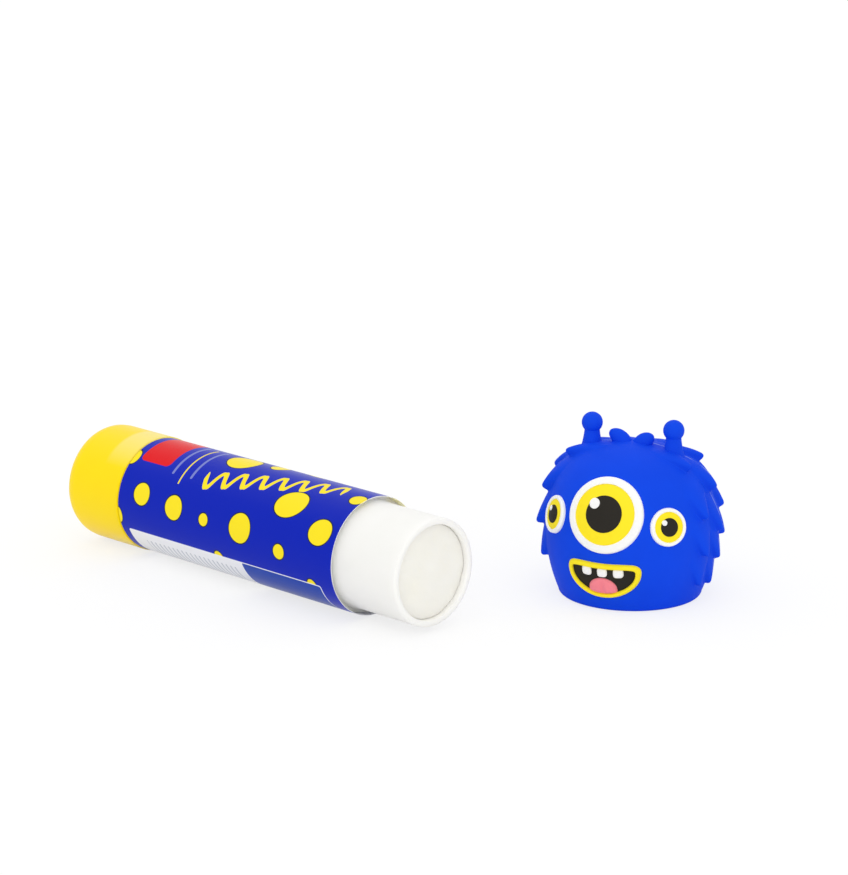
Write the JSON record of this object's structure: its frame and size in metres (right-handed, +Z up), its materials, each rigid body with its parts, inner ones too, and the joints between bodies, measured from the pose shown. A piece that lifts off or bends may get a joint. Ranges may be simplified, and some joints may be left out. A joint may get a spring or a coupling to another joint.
{
  "type": "glue stick with novelty cap",
  "caption": "Twist-up glue stick lying on its side, with its soft rubber monster-head cap standing beside it.",
  "frame": {"origin": "on the surface it stands on, under the middle of the bounding box", "axes": "+Z up; +X along the glue stick from its knob to its neck; the cap stands on the +Y side"},
  "size_m": [0.1156, 0.0722, 0.0334],
  "materials": {
    "white_pp": "satin moulded polypropylene",
    "liner_pp": "satin moulded polypropylene",
    "yellow_pp": "smooth moulded polypropylene",
    "label_film": "glossy printed film",
    "glue": "waxy solid glue",
    "blue_rubber": "matt soft moulded rubber",
    "yellow_rubber": "matt soft moulded rubber",
    "white_rubber": "matt soft moulded rubber",
    "black_rubber": "matt soft moulded rubber",
    "pink_rubber": "matt soft moulded rubber"
  },
  "bodies": {
    "stick": {"barrel": "white_pp", "label": "label_film"},
    "knob": {"twist_knob": "yellow_pp", "screw_rod": "white_pp"},
    "glue_carrier": {"carrier": "white_pp", "glue_stick": "glue"},
    "cap": {"cap_liner": "liner_pp", "head_shell": "blue_rubber", "antenna_left": "blue_rubber", "antenna_right": "blue_rubber", "eye_white_centre": "white_rubber", "eye_iris_centre": "yellow_rubber", "eye_pupil_centre": "black_rubber", "eye_glint_centre": "white_rubber", "eye_white_left": "white_rubber", "eye_iris_left": "yellow_rubber", "eye_pupil_left": "black_rubber", "eye_glint_left": "white_rubber", "eye_white_right": "white_rubber", "eye_iris_right": "yellow_rubber", "eye_pupil_right": "black_rubber", "eye_glint_right": "white_rubber", "mouth_lip": "yellow_rubber", "mouth_lining": "black_rubber", "teeth": "white_rubber", "tongue": "pink_rubber"}
  },
  "joints": [
    {"name": "knob_twist", "type": "hinge", "parent": "stick", "child": "knob", "pos_m": [-0.05777, -0.02494, 0.0112], "axis": [1, 0, 0], "range_deg": [0, 2520]},
    {"name": "glue_slide", "type": "slide", "parent": "stick", "child": "glue_carrier", "axis": [1, 0, 0], "range_m": [0, 0.056]},
    {"name": "cap_lift", "type": "slide", "parent": "stick", "child": "cap", "axis": [0, 0, 1], "range_m": [0, 0.06]}
  ],
  "couplings": [
    {"joint": "knob_twist", "follows": "glue_slide", "rad_per_m": 785.4}
  ]
}
